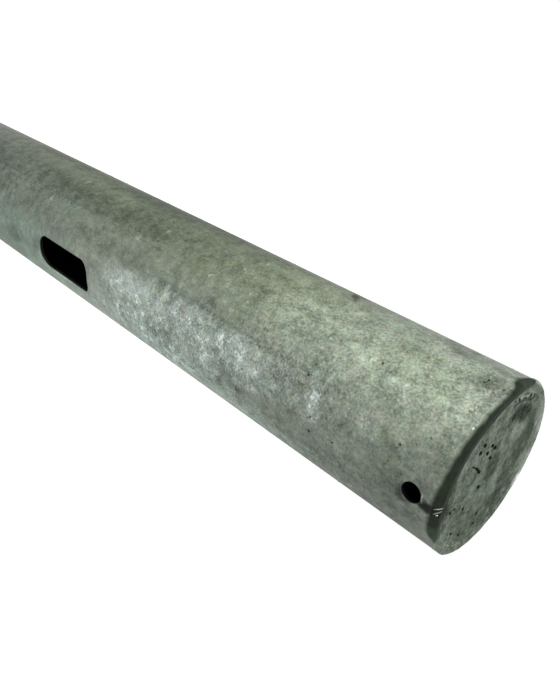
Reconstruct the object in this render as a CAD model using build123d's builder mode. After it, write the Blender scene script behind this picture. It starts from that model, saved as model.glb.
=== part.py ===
import math
import os

from build123d import *

# A latch post for a gate: a round steel tube, hot-dip galvanised after it was made up. A plate closes its top end,
# and a weld seals the plate. The gate's bolt shoots into the slot. The base end is open and is set in the ground.
# Sizes are in millimetres. +Z points up the post, the base end lies on Z = 0, and the slot looks along -Y.
# A turn is in degrees round the post, from the middle line of the slot towards -X.

# The tube. Its top edge is bevelled for the weld.
tube_diameter = 114.3
tube_wall = 3.6
tube_bevel = 1.5
post_height = 2100.0  # from the base end to the outer face of the cap

# The plate on the top end.
cap_thickness = 3.0
cap_step = 0.9  # the cap's edge stands this far in from the bevel

# The seal weld fills the bevel and the step round the cap with a round shoulder.
weld_bulge = 0.5  # beyond the outside of the tube
weld_crest_inset = 2.6  # from the outside of the tube in to the bead's highest ring
weld_crest_height = 0.5  # above the face of the cap
weld_slope = 4.0  # from the highest ring in to where the bead runs out on the cap

# The slot for the gate's bolt.
slot_length = 82.0
slot_width = 29.5
slot_corner_radius = 11.0
slot_below_face = 352.0  # from the face of the cap down to the slot's upper end

# The vent hole lets zinc and air out while the post is dipped.
vent_diameter = 12.7
vent_below_face = 18.3
vent_turn = 4.7

# The wire that the post hung from in the zinc left a shallow channel from the vent hole over the end.
wire_mark_width = 6.5
wire_mark_depth = 0.5
wire_mark_turn = 2.0

# The zinc rounds the outer rims of the slot and the vent hole.
rim_radius = 0.8

# A cut runs on this far past what it cuts.
cut_overrun = 2.0

tube_radius = tube_diameter / 2
bore_radius = tube_radius - tube_wall
cap_radius = tube_radius - tube_bevel - cap_step
seat_height = post_height - cap_thickness
slot_middle_height = post_height - slot_below_face - slot_length / 2
vent_height = post_height - vent_below_face
wire_mark_low = vent_height + vent_diameter / 4
wire_mark_high = post_height + weld_crest_height + cut_overrun


def plane_across(turn, height, away=0.0):
    """A plane that faces out of the side of the post, so far away from the post's axis."""
    angle = math.radians(turn)
    outward = Vector(-math.sin(angle), -math.cos(angle), 0)
    sideways = Vector(math.cos(angle), -math.sin(angle), 0)
    return Plane(origin=outward * away + Vector(0, 0, height), x_dir=sideways, z_dir=outward)


def on_outer_skin(edge):
    """Whether an edge lies on the outside of the tube."""
    start = edge.position_at(0)
    return math.hypot(start.X, start.Y) > tube_radius - tube_wall / 2


# The wire's channel, as the solid that is cut out of the tube and out of the bead.
with BuildPart() as wire_mark:
    with BuildSketch(plane_across(wire_mark_turn, wire_mark_low, tube_radius - wire_mark_depth)):
        Rectangle(wire_mark_width, wire_mark_high - wire_mark_low, align=(Align.CENTER, Align.MIN))
    extrude(amount=wire_mark_depth + weld_bulge + cut_overrun)

# The tube, with its bevel, slot, vent hole and wire mark.
with BuildPart() as post_tube:
    with BuildSketch():
        Circle(tube_radius)
        Circle(bore_radius, mode=Mode.SUBTRACT)
    extrude(amount=seat_height)
    top_edges = post_tube.edges().filter_by(GeomType.CIRCLE).group_by(Axis.Z)[-1]
    chamfer(top_edges.sort_by(SortBy.RADIUS)[-1], tube_bevel)

    with BuildSketch(plane_across(0, slot_middle_height)):
        RectangleRounded(slot_width, slot_length, slot_corner_radius)
    extrude(amount=tube_radius + cut_overrun, mode=Mode.SUBTRACT)
    fillet(post_tube.edges(Select.LAST).filter_by(on_outer_skin), rim_radius)

    with BuildSketch(plane_across(vent_turn, vent_height)):
        Circle(vent_diameter / 2)
    extrude(amount=tube_radius + cut_overrun, mode=Mode.SUBTRACT)
    fillet(post_tube.edges(Select.LAST).filter_by(on_outer_skin), rim_radius)

    add(wire_mark.part, mode=Mode.SUBTRACT)
post_tube.part.label = "post_tube"

# The plate that closes the top end.
with BuildPart() as top_cap:
    with BuildSketch(Plane.XY.offset(seat_height)):
        Circle(cap_radius)
    extrude(amount=cap_thickness)
top_cap.part.label = "top_cap"

# The seal weld, turned about the post's axis.
tube_toe = (tube_radius, seat_height - tube_bevel)
shoulder = (tube_radius + weld_bulge, seat_height)
crest = (tube_radius - weld_crest_inset, post_height + weld_crest_height)
slope = (crest[0] - weld_slope / 2, post_height + weld_crest_height / 3)
cap_toe = (crest[0] - weld_slope, post_height)
with BuildPart() as cap_weld:
    with BuildSketch(Plane.XZ):
        with BuildLine():
            ThreePointArc(tube_toe, shoulder, crest)
            ThreePointArc(crest, slope, cap_toe)
            Polyline(
                cap_toe,
                (cap_radius, post_height),
                (cap_radius, seat_height),
                (tube_radius - tube_bevel, seat_height),
                tube_toe,
            )
        make_face()
    revolve(axis=Axis.Z)
    add(wire_mark.part, mode=Mode.SUBTRACT)
cap_weld.part.label = "cap_weld"

os.makedirs("parts", exist_ok=True)
for piece in (post_tube, top_cap, cap_weld):
    export_step(piece.part, f"parts/{piece.part.label}.step")
    print(piece.part.label, "volume", round(piece.part.volume), "size", piece.part.bounding_box().size)
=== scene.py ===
# %% [markdown]
# A latch post: the round steel tube that a gate's bolt shoots into. The real one is made up first, by
# sawing the tube, cutting its slot and vent hole and welding a plate on its top end, and is then dipped in
# molten zinc. The zinc is what the eye sees: a grey coat with a green cast, mottled, speckled and bloomed
# with white. The scene starts from the imported CAD model, which is the fixed frame. The tube, the plate and
# the weld are each made again on the same sizes, with finer meshes and unevenness, and the lens
# looks past the plate down the length of the post, as the photograph does.

# %% Load the frame
import math

import bpy
from mathutils import Matrix, Vector


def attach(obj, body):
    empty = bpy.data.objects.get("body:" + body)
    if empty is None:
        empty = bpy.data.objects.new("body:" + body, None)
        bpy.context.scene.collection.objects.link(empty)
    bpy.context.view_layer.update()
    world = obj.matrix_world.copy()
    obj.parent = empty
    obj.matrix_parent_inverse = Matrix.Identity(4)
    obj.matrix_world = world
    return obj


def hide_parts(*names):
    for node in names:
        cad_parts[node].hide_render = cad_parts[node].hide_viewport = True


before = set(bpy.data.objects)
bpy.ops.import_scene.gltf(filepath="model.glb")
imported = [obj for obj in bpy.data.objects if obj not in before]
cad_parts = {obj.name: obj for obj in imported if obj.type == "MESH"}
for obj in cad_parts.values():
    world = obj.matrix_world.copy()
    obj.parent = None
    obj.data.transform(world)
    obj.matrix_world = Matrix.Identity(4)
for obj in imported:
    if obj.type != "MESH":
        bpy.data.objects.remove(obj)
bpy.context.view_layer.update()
scene = bpy.context.scene

# %% [markdown]
# The CAD model was drawn from a few driving sizes. The same ones are written here, in millimetres, so that
# the finer meshes meet the CAD solids exactly. Blender works in metres, so a point is made metres as it is
# placed. A turn is an angle round the post in degrees, from the middle of the slot, which looks along -Y,
# towards -X.

# %% Sizes of the post
MM = 0.001
POST_HEIGHT = 2100.0
TUBE_RADIUS = 57.15
BORE_RADIUS = 53.55
TUBE_BEVEL = 1.5
CAP_RADIUS = 54.75
SEAT_HEIGHT = 2097.0
RIM_RADIUS = 0.8
BEVEL_HEIGHT = SEAT_HEIGHT - TUBE_BEVEL
# Each opening's turn, the height of its middle, its half width, its half length and its corner's radius.
SLOT = (0, 1707, 14.75, 41, 11)
VENT = (4.7, 2081.7, 6.35, 6.35, 6.35)


def on_post(turn, radius, height):
    """The point at a turn round the post, in metres."""
    angle = math.radians(turn)
    return Vector((-radius * math.sin(angle), -radius * math.cos(angle), height)) * MM


# %% [markdown]
# A finish in Blender is a tree of nodes. One small function adds a node, sets what it is told and joins its
# inputs, either to another node's output or to a plain value. Inputs are given by name, or in the node's
# own order: a map range takes a value, the two ends that it runs between and the two ends that it is to run
# between. Colours are written as they look on a screen and turned into the linear values that light is
# worked out in.

# %% Nodes and colours


def add(tree, kind, inputs=(), out=0, **settings):
    """Adds a node, a shader's unless its kind says otherwise, and returns one of its outputs."""
    node = tree.nodes.new(kind if "Node" in kind else "ShaderNode" + kind)
    for name, value in settings.items():
        setattr(node, name, value)
    for name, value in inputs.items() if isinstance(inputs, dict) else enumerate(inputs):
        if isinstance(value, bpy.types.NodeSocket):
            tree.links.new(value, node.inputs[name])
        else:
            node.inputs[name].default_value = value
    return node.outputs[out] if node.outputs else None


def linear(code):
    """An sRGB colour such as 8A9184 as linear red, green, blue and alpha."""
    parts = [int(code[i : i + 2], 16) / 255 for i in (0, 2, 4)]
    return [c / 12.92 if c <= 0.04045 else ((c + 0.055) / 1.055) ** 2.4 for c in parts] + [1.0]


def new_finish(name):
    """A material with its tree emptied down to the shader and the output."""
    material = bpy.data.materials.new(name)
    material.use_nodes = True
    return material, material.node_tree, material.node_tree.nodes["Principled BSDF"]


print("mid zinc in linear light:", [round(v, 3) for v in linear("828A7E")])

# %% [markdown]
# Marks on the real post have a place: a bloom of white zinc here, a dark patch there, a seam line along the
# tube. So the finish needs to know where a point lies on the skin. The object's own coordinates give that,
# since every piece stands at the origin: the way round the skin comes from an arctangent, and the distance
# below the plate from the height. Both are taken in millimetres, so that a pattern's size can be read off
# its numbers.

# %% Where a point lies on the post


def way_round(tree, x, y):
    """How far round the skin a place lies, in mm from the slot's middle line towards -X."""
    minus = [add(tree, "Math", (axis, -1.0), operation="MULTIPLY") for axis in (x, y)]
    turn = add(tree, "Math", minus, operation="ARCTAN2")
    return add(tree, "Math", (turn, TUBE_RADIUS), operation="MULTIPLY")


def post_map(tree):
    """The place in mm, and on the skin: the way round, the way below the plate and the radius, in mm."""
    place = add(tree, "Mapping", {"Vector": add(tree, "TexCoord", out="Object"), "Scale": (1 / MM,) * 3})
    x, y, z = add(tree, "SeparateXYZ", (place,)).node.outputs
    below = add(tree, "Math", (POST_HEIGHT, z), operation="SUBTRACT")
    level = add(tree, "VectorMath", (place, (1, 1, 0)), operation="MULTIPLY")
    radius = add(tree, "VectorMath", (level,), "Value", operation="LENGTH")
    return place, add(tree, "CombineXYZ", (way_round(tree, x, y), below, radius))


def by_turn(tree, way, points):
    """A value that follows the turn round the post, through points of a turn and a value."""
    least, most = min(value for _, value in points), max(value for _, value in points)
    half_round = math.pi * TUBE_RADIUS
    curve = add(tree, "FloatCurve", {"Value": add(tree, "MapRange", (way, -half_round, half_round))})
    mapping = curve.node.mapping
    line = mapping.curves[0].points
    while len(line) < len(points):
        line.new(0.5, 0.5)
    for knot, (turn, value) in zip(line, points):
        knot.location = ((turn + 180) / 360, (value - least) / (most - least))
        knot.handle_type = "VECTOR"
    mapping.update()
    return add(tree, "Math", (curve, most - least, least), operation="MULTIPLY_ADD")


def skin_marks(*rows):
    """Ovals on the skin, each a turn, a way below the plate, a reach each way, what is added and a slant."""
    return [(math.radians(turn) * TUBE_RADIUS, *rest) for turn, *rest in rows]


print("a mark at turn 60, 40 mm below the plate:", skin_marks((60, 40, 10, 10, 1)))

# %% [markdown]
# The zinc's tone is one number, 0 for the darkest pit and 1 for white bloom, built up in layers. Each layer
# takes the tone so far and adds its own share: soft ovals that have a place on the real post, clouds of a
# size in mm, and round specks that crowd together, as ash and dross do. A ramp then turns the tone into a
# colour.

# %% Layers of a tone


def wander(tree, vector, place, size, reach):
    """The same vector pushed about by a noise, so that what follows it has ragged edges."""
    noise = add(tree, "TexNoise", {"Vector": place, "Scale": 1 / size, "Detail": 3.0}, "Color")
    push = add(tree, "VectorMath", (noise, (reach * 2,) * 3, (-reach,) * 3), operation="MULTIPLY_ADD")
    return add(tree, "VectorMath", (vector, push), operation="ADD")


def ovals(tree, vector, marks, start=0.0, core=0.25):
    """Adds up soft ovals in the XY plane. The core is the share of the reach where one counts in full."""
    total = start
    for x, y, reach_x, reach_y, amount, *slant in marks:
        if slant:
            turned = (0, 0, math.radians(slant[0]))
            inputs = (vector, (x, y, 0), turned, (reach_x, reach_y, 1e6))
            near = add(tree, "Mapping", inputs, vector_type="TEXTURE")
        else:
            inputs = (vector, (1 / reach_x, 1 / reach_y, 0), (-x / reach_x, -y / reach_y, 0))
            near = add(tree, "VectorMath", inputs, operation="MULTIPLY_ADD")
        far = add(tree, "VectorMath", (near,), "Value", operation="LENGTH")
        soft = add(tree, "MapRange", (far, 1.0, core, 0.0, amount), interpolation_type="SMOOTHSTEP")
        total = add(tree, "Math", (total, soft), operation="ADD")
    return total


def swung(tree, value, gain, start):
    """Adds a value between 0 and 1 to a tone, centred and swinging as far as the gain says."""
    centred = add(tree, "Math", (value, 0.5), operation="SUBTRACT")
    return add(tree, "Math", (centred, gain, start), operation="MULTIPLY_ADD")


def clouds(tree, place, size, detail, rough, gain, start):
    """Adds a noise of several sizes, the largest in mm, to a tone."""
    noise = add(tree, "TexNoise", {"Vector": place, "Scale": 1 / size, "Detail": detail, "Roughness": rough})
    return swung(tree, noise, gain, start)


def crystals(tree, place, size, gain, start):
    """Adds cells of a size in mm, each of a shade of its own, as zinc sets in crystals."""
    return swung(tree, add(tree, "TexVoronoi", {"Vector": place, "Scale": 1 / size}, "Color"), gain, start)


def specks(tree, place, size, most, crowd, start):
    """Round spots of 1 on a lattice of a size in mm, larger where a noise of the crowd's size is high."""
    cells = add(tree, "TexVoronoi", {"Vector": place, "Scale": 1 / size}).node.outputs
    noise = add(tree, "TexNoise", {"Vector": place, "Scale": 1 / crowd, "Detail": 3.0, "Roughness": 0.7})
    reach = add(tree, "MapRange", (noise, start, start + 0.22, 0.0, most))
    own = add(tree, "Math", (reach, cells["Color"]), operation="MULTIPLY")
    edge = add(tree, "Math", (own, cells["Distance"]), operation="SUBTRACT")
    return add(tree, "MapRange", (edge, 0.0, 0.14))


def zinc_shades(tree, tone, shades):
    """The colour of each tone, from the darkest to the lightest, evenly spread from 0 to 1."""
    ramp = add(tree, "ValToRGB", (tone,))
    points = ramp.node.color_ramp.elements
    while len(points) < len(shades):
        points.new(0.5)
    for number, code in enumerate(shades):
        points[number].position = number / (len(shades) - 1)
        points[number].color = linear(code)
    return ramp


def tinted(tree, colour, code, amount):
    """A colour multiplied by a tint, as far as the amount says."""
    inputs = {0: amount, 6: colour, 7: linear(code)}
    return add(tree, "Mix", inputs, 2, data_type="RGBA", blend_type="MULTIPLY")


def drifted(tree, colour, place, amount):
    """A colour whose red, green and blue drift apart a little, in clouds of 7 mm."""
    noise = add(tree, "TexNoise", {"Vector": place, "Scale": 1 / 7, "Detail": 4.0, "Roughness": 0.7}, "Color")
    inputs = (noise, (amount,) * 3, (1 - amount / 2,) * 3)
    drift = add(tree, "VectorMath", inputs, operation="MULTIPLY_ADD")
    return add(tree, "VectorMath", (colour, drift), operation="MULTIPLY")


print("layers: ovals, clouds, crystals and specks")

# %% [markdown]
# The tube's finish is weathered hot-dip zinc: dull metal, rough, mid grey with a green cast. Coarse patches
# come first, some of them painted light, then clouds from 150 mm down to under 1 mm. Near the welded end
# the coat is a thick crust of light crystals and dark ash. White zinc has bloomed between 140 and 330 mm
# below the plate, with dark freckles beside it, and a little of it again near 95 mm. Straight lines run
# along the tube, its seam and the marks of its rolls, and the zinc is lighter or darker on one side of two
# of them. Some marks are small enough to count: curls where a drip was wiped, dots, painted shade in the
# wire's channel above the vent hole and lighter lines along two rims of the slot.

# %% The tube's marks
# Mottling of the zinc, and painted light: the light patch at turn 70 near the capped end is a painted
# highlight, and the long light patches at turns -28 and -24 are painted light on that side of the tube.
TUBE_TONES_AND_PAINTED_LIGHT = skin_marks(
    (70, 40, 40, 150, 0.07), (4, 20, 34, 40, -0.10), (10, 62, 40, 52, -0.05), (33, 66, 14, 14, 0.07),
    (-24, 66, 36, 80, -0.05), (85, 9, 10, 15, -0.16), (102, 80, 14, 26, 0.05), (113, 130, 9, 10, -0.16),
    (62, 152, 28, 26, 0.09), (36, 204, 12, 26, -0.12), (37, 320, 12, 70, -0.09), (32, 470, 16, 90, -0.05),
    (-3, 157, 8, 9, -0.09), (-4, 305, 24, 62, 0.11), (13, 222, 26, 122, 0.10), (-28, 250, 30, 200, 0.19),
    (111, 350, 28, 270, -0.13), (88, 300, 62, 200, -0.105), (70, 560, 62, 300, -0.15),
    (-24, 430, 22, 110, 0.12), (-4, 487, 12, 16, -0.14), (6, 440, 9, 10, -0.12), (85, 420, 18, 50, 0.05),
    (-31, 25, 14, 38, -0.09), (80, 57, 12, 14, -0.12), (76, 85, 11, 13, -0.08), (8, 202, 15, 17, 0.13),
    (0, 172, 16, 26, -0.08), (22, 152, 13, 15, 0.10), (107, 46, 10, 18, -0.08), (93, 35, 10, 10, 0.07),
    (81, 366, 14, 28, 0.12), (3, 341, 20, 14, 0.12), (19, 295, 14, 52, 0.10), (-11, 252, 12, 15, -0.10),
    (33, 378, 14, 26, -0.09), (-18, 394, 11, 18, -0.09), (33, 249, 10, 18, -0.08),
    (105, 510, 14, 110, -0.08), (-24, 490, 12, 28, -0.09), (60, 548, 13, 26, -0.06), (32, 12, 8, 12, -0.10),
    (65, 12, 10, 9, 0.09), (78, 12, 6, 12, -0.14), (102, 12, 8, 10, -0.09),
)
CRUST = skin_marks(
    (70, 60, 60, 200, 0.44), (20, 150, 30, 120, 0.42), (5, 245, 40, 110, 0.5), (-24, 220, 26, 180, 0.6),
    (-20, 70, 30, 60, 0.2),
)
BLOOM = skin_marks(
    (9, 235, 35, 105, 1.0), (-20, 290, 26, 90, 0.6), (62, 90, 40, 70, 0.25), (18, 150, 18, 50, 0.6),
    (18, 95, 13, 9, 1.3),
)
FRECKLES = skin_marks((10, 208, 24, 40, 1.3), (-8, 190, 20, 46, 0.8), (30, 150, 12, 60, 0.5))
OLIVE = skin_marks(
    (74, 150, 50, 170, 0.6), (58, 36, 50, 70, 0.4), (100, 350, 56, 320, 1.0), (50, 300, 30, 200, 0.3),
)
TEAL = skin_marks((-6, 480, 50, 140, 1.0), (-22, 220, 26, 180, 0.5), (47, 403, 9, 14, 0.8))
SMALL_MARKS = skin_marks(
    (18, 95.5, 10, 6, 0.24, 10), (-8, 161, 9, 1.0, -0.2), (16.5, 97, 1.8, 1.8, 0.2),
    (106, 126, 16, 3.6, -0.26, 38), (71, 118, 3, 5, 0.16), (88, 107, 4, 4, 0.18), (63, 92, 3, 5, 0.14),
    (61, 75, 3, 3, 0.16), (56, 56, 4, 6, 0.12), (91, 53, 5, 5, 0.14), (55, 13, 3, 3.5, 0.2),
    (53.8, 3.8, 1.0, 1.1, 0.6), (75, 202, 1.0, 5.0, 0.2, -25), (91, 195, 2.4, 1.2, 0.25),
    (57.6, 220, 1.2, 4.0, 0.2, 30), (48, 437, 5, 2.0, 0.2, 15), (81, 421, 5, 2.4, 0.2),
    (55.5, 308, 3, 6, 0.16, 35), (73, 288, 2.4, 5, 0.16, -30), (5.2, 11.2, 4.5, 0.9, 0.3),
    (1.5, 22, 8, 8, -0.2), (-16.2, 398, 1.5, 46, 0.20), (-7, 435.8, 11, 2.2, 0.14),
)
DARK_DOTS = [
    (61.4, 68.6), (9.8, 94.1), (12.3, 156.0), (32.9, 105.6), (0.4, 93.4), (3.3, 74.7), (85.8, 15.0),
    (26.6, 33.5),
]
SMALL_MARKS += skin_marks(*[(turn, below, 1.3, 1.3, -0.45) for turn, below in DARK_DOTS])
# Painted shade in the wire's channel: the channel is darkened as well as pressed into the skin.
WIRE_CHANNEL_SHADE = skin_marks((2, 8.4, 5, 7.0, 1.0), (2, 3.5, 4.6, 4.0, 0.9))
LIGHT_STRIP = skin_marks((26, 235, 22, 130, 1.0))
DARK_STRIP = skin_marks((66, 400, 26, 220, 1.0))
ZINC_SHADES = ["171B16", "4A5248", "828A7E", "AFB8AC", "E6ECE4"]
print(len(SMALL_MARKS), "small marks")

# %% [markdown]
# The weld was ground smooth before the dip, so the zinc took thinly there and burnt to a dark green-grey
# without any gleam. The dark shows as a band along the edge, and painted shade deepens it: the band grows
# darker towards the plate, where the rounded shoulder turns from the light. It fades into the tube's zinc
# on one side and ends in a crisp line on the plate on the other, and it is missing where the bead is
# square. Tube, weld and plate share it, so it is one function of the place on the skin: one curve says how
# far down the side it comes at each turn, a second one from which radius on it covers the end.

# %% The dark band
# The band's colours, for the weld's dark zinc and the painted shade over it.
WELD_ZINC_AND_SHADE_COLOURS = ["080F07", "172115", "2F3A2E", "4E594F", "7C857C"]
BAND_WIDTH = [
    (-180, -2.0), (-27, -2.0), (-20, 3.0), (-15, 5.4), (8, 5.6), (15, 4.8), (25, 4.3), (40, 3.6), (55, 2.8),
    (62, 2.1), (84, 1.5), (90, 2.4), (95, 5.2), (102, 6.5), (111, 4.4), (117, 0.5), (121, -2.0),
    (180, -2.0),
]
BAND_RADIUS = [
    (-180, 57.5), (-26, 57.5), (-20, 53.4), (-15, 51.8), (-8, 51.3), (0, 48.0), (4, 48.3), (9, 49.6),
    (48, 50.1), (62, 49.2), (72, 49.4), (85, 50.5), (92, 51.0), (97, 51.4), (102, 52.9), (110, 54.8),
    (118, 57.0), (180, 57.5),
]
BAND_TONES = skin_marks((2.6, 1.6, 4.6, 5.6, -0.3), (-17, 2, 11, 9, 0.26), (103, 2, 14, 9, 0.2))
BURNT_METALLIC = 0.05
BURNT_ROUGHNESS = 0.9


def dark_zinc_and_shade_banded(tree, colour, place, skin):
    """A colour with the dark band over it, dark zinc and painted shade, and the band's share."""
    way, below, radius = add(tree, "SeparateXYZ", (skin,)).node.outputs
    width = clouds(tree, place, 6, 3.0, 0.7, 2.2, by_turn(tree, way, BAND_WIDTH))
    gap = add(tree, "Math", (width, below), operation="SUBTRACT")
    down_side = add(tree, "MapRange", (gap, -1.7, 1.5), interpolation_type="SMOOTHSTEP")
    inner = clouds(tree, place, 5, 2.0, 0.6, 0.9, by_turn(tree, way, BAND_RADIUS))
    past = add(tree, "Math", (radius, inner), operation="SUBTRACT")
    beyond = add(tree, "MapRange", (past, -0.3, 0.5))
    band = add(tree, "Math", (down_side, beyond), operation="MULTIPLY")
    # Painted shade: the band's tone falls over its first 2 mm, so it is darkest towards the plate.
    depth = add(tree, "MapRange", (gap, 0.0, 2.0, 0.31, 0.19))
    tone = clouds(tree, place, 5, 4.0, 0.8, 0.75, ovals(tree, skin, BAND_TONES, depth))
    dark = zinc_shades(tree, tone, WELD_ZINC_AND_SHADE_COLOURS)
    return add(tree, "Mix", {0: band, 6: colour, 7: dark}, 2, data_type="RGBA"), band


def dulled(tree, band, value, in_band, socket):
    """Sets a shader's input to a value that changes where the band is, whose burnt zinc has no gleam."""
    tree.links.new(add(tree, "MapRange", (band, 0.0, 1.0, value, in_band)), socket)


print("the band comes down the side by up to", max(width for _, width in BAND_WIDTH), "mm")

# %% [markdown]
# All three finishes end alike. Zinc has no clear coat, and its skin of oxide is a dull mineral, so each is
# only partly metallic, its IOR stays at the default and its specular level is low. The fine layers of the
# tone also raise and sink the surface by some tenths of a millimetre, which breaks up the light as the real
# crust does.

# %% The tube's finish
DULL_SPECULAR = 0.25
PLAIN_CRUST = 0.22
MID_TONE = 0.49
# The radii at which the painted shade of the cut walls and the bore begins and is full.
WALL_PAINTED_SHADE_START = 56.75
WALL_PAINTED_SHADE_FULL = 55.9


def dressed(tree, shader, colour, relief, strength, depth):
    """Gives a shader its colour, its low specular level and its relief, whose depth is in mm."""
    tree.links.new(colour, shader.inputs["Base Color"])
    shader.inputs["Specular IOR Level"].default_value = DULL_SPECULAR
    bump = add(tree, "Bump", {"Strength": strength, "Distance": depth * MM, "Height": relief})
    tree.links.new(bump, shader.inputs["Normal"])


def beside(tree, skin, turn, last_turn, marks):
    """Ovals cut off along a straight line at a turn. They count in full on the last turn's side of it."""
    start, stop = (math.radians(edge) * TUBE_RADIUS for edge in (turn, last_turn))
    side = add(tree, "MapRange", (add(tree, "SeparateXYZ", (skin,)), start, stop))
    return add(tree, "Math", (side, ovals(tree, skin, marks)), operation="MULTIPLY")


def seam_line(tree, skin, place, turn, start, stop):
    """A thin straight line along the tube, broken by a noise, between two distances below the plate."""
    half = (stop - start) / 2
    line = ovals(tree, skin, skin_marks((turn, start + half, 1.5, half * 1.4, 1.0)))
    return clouds(tree, place, 18, 2.0, 0.6, add(tree, "Math", (line, 3.0), operation="MULTIPLY"), line)


def zinc_tone(tree, place, skin, pick=list):
    """The tube's tone and relief, the pushed skin and the white, with the marks that pick lets through."""
    ragged = wander(tree, skin, place, 24, 12)
    nicked = wander(tree, skin, place, 3, 1.6)
    crust = ovals(tree, ragged, pick(CRUST), PLAIN_CRUST)
    tone = ovals(tree, ragged, pick(TUBE_TONES_AND_PAINTED_LIGHT), MID_TONE)
    tone = ovals(tree, nicked, pick(SMALL_MARKS), tone)
    tone = clouds(tree, place, 150, 1.0, 0.6, 0.10, tone)
    tone = clouds(tree, place, 34, 2.0, 0.7, 0.17, tone)
    swing = add(tree, "Math", (crust, 0.6, 0.28), operation="MULTIPLY_ADD")
    fine = clouds(tree, place, 9, 3.0, 0.75, swing, 0.0)
    fine = crystals(tree, nicked, 2.4, 0.10, fine)
    fine = clouds(tree, place, 1.5, 2.0, 0.6, crust, fine)
    drawn_out = add(tree, "Mapping", {"Vector": place, "Scale": (1.0, 1.0, 0.14)})
    fine = clouds(tree, drawn_out, 3.0, 2.0, 0.7, 0.10, fine)
    tone = add(tree, "Math", (tone, fine), operation="ADD")
    light = specks(tree, place, 2.6, 0.62, 14, 0.46)
    ash = specks(tree, place, 2.2, 0.62, 9, 0.48)
    pits = specks(tree, place, 5.5, 0.3, 30, 0.42)
    bloom = add(tree, "MapRange", (clouds(tree, place, 8, 5.0, 0.8, 1.0, 0.5), 0.5, 0.64))
    white = ovals(tree, ragged, pick(BLOOM), 0.12, 0.7)
    masks = (
        (light, crust, 0.20),
        (ash, ovals(tree, ragged, pick(FRECKLES), 0.45), -0.28),
        (pits, 1.0, -0.22),
        (bloom, white, 0.23),
        (seam_line(tree, skin, place, 55.6, 235, 600), 1.0, -0.045),
        (seam_line(tree, skin, place, 34.5, -20, 300), 1.0, -0.03),
        (seam_line(tree, skin, place, -25.6, 100, 330), 1.0, 0.06),
        (ovals(tree, nicked, WIRE_CHANNEL_SHADE), 1.0, -0.48),
        (beside(tree, skin, 34.5, 33.0, LIGHT_STRIP), 1.0, 0.05),
        (beside(tree, skin, 56.0, 58.0, DARK_STRIP), 1.0, -0.05),
    )
    for mask, where, amount in masks:
        share = add(tree, "Math", (mask, where), operation="MULTIPLY")
        tone = add(tree, "Math", (share, amount, tone), operation="MULTIPLY_ADD")
    raised = add(tree, "Math", (light, 0.35, fine), operation="MULTIPLY_ADD")
    sunk = add(tree, "Math", (pits, -0.6, raised), operation="MULTIPLY_ADD")
    return tone, sunk, ragged, white


def zinc_colour(tree, tone, ragged, white, place, pick=list):
    """The colour of a tone: yellow in flecks, bluish in the bloom, olive or blue-green where the post is."""
    colour = drifted(tree, zinc_shades(tree, tone, ZINC_SHADES), place, 0.30)
    colour = tinted(tree, colour, "FFFFDC", clouds(tree, place, 11, 3.0, 0.75, 3.0, -0.2))
    colour = tinted(tree, colour, "F7FAFF", white)
    colour = tinted(tree, colour, "FBFFEB", ovals(tree, ragged, pick(OLIVE)))
    return tinted(tree, colour, "F0FFFC", ovals(tree, ragged, pick(TEAL)))


def hot_dip_zinc():
    """Weathered hot-dip zinc on drawn steel: dull, rough and mottled. It glows softly and never mirrors."""
    material, tree, shader = new_finish("hot_dip_zinc")
    place, skin = post_map(tree)
    tone, relief, ragged, white = zinc_tone(tree, place, skin)
    colour, band = dark_zinc_and_shade_banded(tree, zinc_colour(tree, tone, ragged, white, place), place, skin)
    radius = add(tree, "SeparateXYZ", (skin,), "Z")
    # Painted shade: from these radii inwards the cut walls and the bore are tinted dark, as shade inside the
    # tube.
    painted_wall_shade = add(tree, "MapRange", (radius, WALL_PAINTED_SHADE_START, WALL_PAINTED_SHADE_FULL))
    dressed(tree, shader, tinted(tree, colour, "1B1D1A", painted_wall_shade), relief, 0.6, 0.4)
    rough = add(tree, "MapRange", (tone, 0.2, 0.9, 0.5, 0.68))
    tree.links.new(rough, shader.inputs["Roughness"])
    dulled(tree, band, 0.4, BURNT_METALLIC, shader.inputs["Metallic"])
    return material


tube_zinc = hot_dip_zinc()
print("nodes in the tube's finish:", len(tube_zinc.node_tree.nodes))

# %% [markdown]
# The tube could be a cylinder with holes cut by booleans, but those leave long thin faces that shade badly.
# Instead it is one grid of turn lines and height lines, wrapped round the outside, over the bevelled end,
# down the bore and back. The lines are close together where the openings are and far apart elsewhere. Two
# windows are left out of the grid, outside and inside, and rings lead from each window's edge to its
# opening.

# %% Lines of the tube's grid


def spaced(start, stop, pitch):
    """Even steps from start up to, but without, stop."""
    steps = max(1, round((stop - start) / pitch))
    return [start + (stop - start) * step / steps for step in range(steps)]


# A window runs between two turns and two heights.
SLOT_WINDOW = (-21, 21, 1660, 1754)
VENT_WINDOW = (-6, 16, 2070.5, 2092.5)
turn_lines = (
    spaced(-180, -21, 3) + spaced(-21, -6, 1) + spaced(-6, 16, 0.5)
    + spaced(16, 21, 1) + spaced(21, 180, 3)
)
height_lines = (
    spaced(0, 1660, 40) + spaced(1660, 1754, 2) + spaced(1754, 2070.5, 30)
    + spaced(2070.5, 2092.5, 1) + spaced(2092.5, BEVEL_HEIGHT, 0.75) + [BEVEL_HEIGHT]
)
rings = [(TUBE_RADIUS, height) for height in height_lines]
rings += [(TUBE_RADIUS - TUBE_BEVEL, SEAT_HEIGHT), (BORE_RADIUS, SEAT_HEIGHT)]
rings += [(BORE_RADIUS, height) for height in reversed(height_lines[:-1])]
print(len(turn_lines), "turn lines and", len(rings), "rings")

# %% [markdown]
# The wire that the post hung from in the zinc left a shallow flat channel from the vent hole up over the
# weld. It crosses two pieces, so one function presses it into the points of both: whatever stands above the
# channel's floor, inside its width and above its low end, is pushed down to the floor, with soft sides.

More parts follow.
